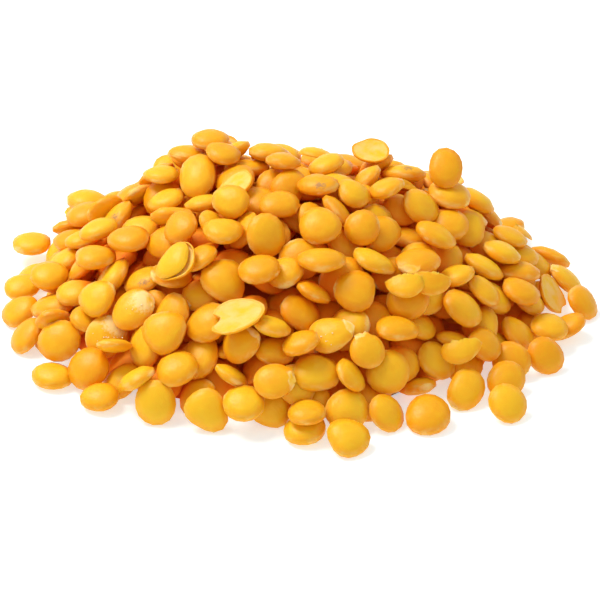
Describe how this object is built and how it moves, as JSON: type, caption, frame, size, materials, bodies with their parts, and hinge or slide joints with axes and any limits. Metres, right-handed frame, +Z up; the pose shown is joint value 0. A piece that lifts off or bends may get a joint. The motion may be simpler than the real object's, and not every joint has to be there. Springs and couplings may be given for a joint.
{
  "type": "heap of dry lentils",
  "caption": "Low oval heap of dry yellow lentils lying loose on a table, flat underneath, with a few stray lentils at its foot.",
  "frame": {"origin": "on the table, under the middle of the heap's box", "axes": "+Z up, +X along the heap's width to the right as seen from the front, -Y towards the front"},
  "size_m": [0.0738, 0.0668, 0.0197],
  "materials": {
    "dry_lentil": "smooth dry seed, satin, deep orange in the gaps between the lentils"
  },
  "bodies": {
    "root": {"lentil_heap": "dry_lentil"}
  },
  "joints": []
}
